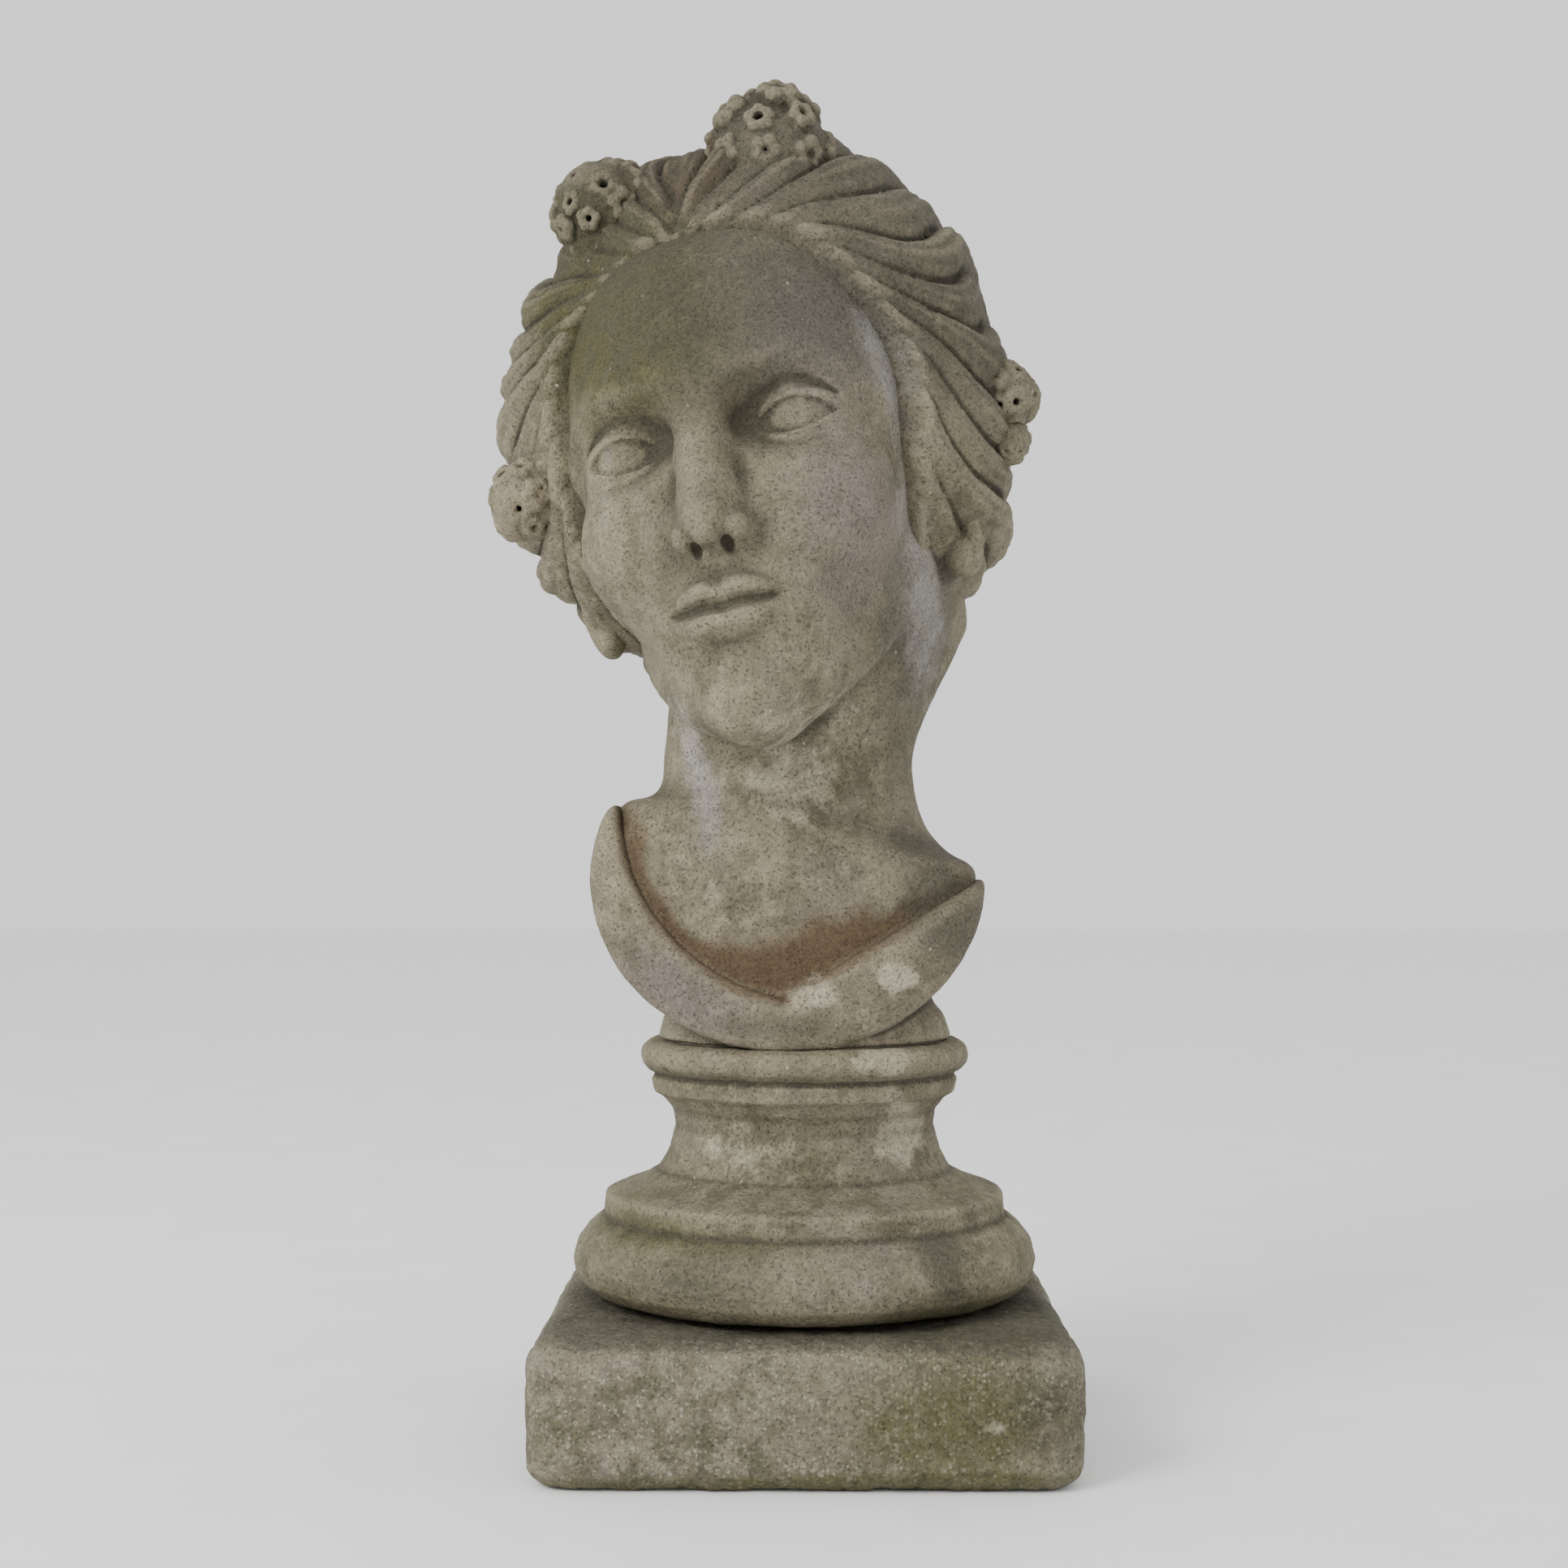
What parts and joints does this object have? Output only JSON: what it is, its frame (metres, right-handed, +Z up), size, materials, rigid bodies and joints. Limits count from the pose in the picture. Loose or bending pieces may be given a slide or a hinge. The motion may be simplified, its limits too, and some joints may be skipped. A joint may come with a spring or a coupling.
{
  "type": "garden bust",
  "caption": "Weathered stone bust of a woman with flower clusters in her hair, turned head and draped shoulders, on a turned socle and a square plinth.",
  "frame": {"origin": "centre of the plinth's underside", "axes": "+Z up, -Y towards the front of the socle and shoulders, +X to the viewer's right; the head is turned towards -X"},
  "size_m": [0.2135, 0.234, 0.4879],
  "materials": {
    "plinth_stone": "coarse, pitted, pale aggregate, algae near the ground",
    "bust_stone": "matt, weathered, lichen and rust-brown stains",
    "mortar": "matt, sandy",
    "lead": "dull grey lead",
    "pin_steel": "plain bar"
  },
  "bodies": {
    "plinth": {"plinth": "plinth_stone", "plinth_pin": "pin_steel", "plinth_pin_grout": "mortar"},
    "washer": {"turning_washer": "lead"},
    "bust": {"socle": "bust_stone", "socle_bedding": "mortar", "socle_pin_grout": "mortar", "shoulders": "bust_stone", "shoulders_pin_grout": "mortar", "centre_pin": "pin_steel", "neck_bedding": "mortar", "neck_pin_grout": "mortar", "head_and_neck": "bust_stone"}
  },
  "joints": [
    {"name": "turn_on_plinth", "type": "hinge", "parent": "plinth", "child": "washer", "pos_m": [0, 0, 0.049], "axis": [0, 0, 1], "continuous": true},
    {"name": "lift_off", "type": "slide", "parent": "washer", "child": "bust", "axis": [0, 0, 1], "range_m": [0, 0.06]}
  ]
}
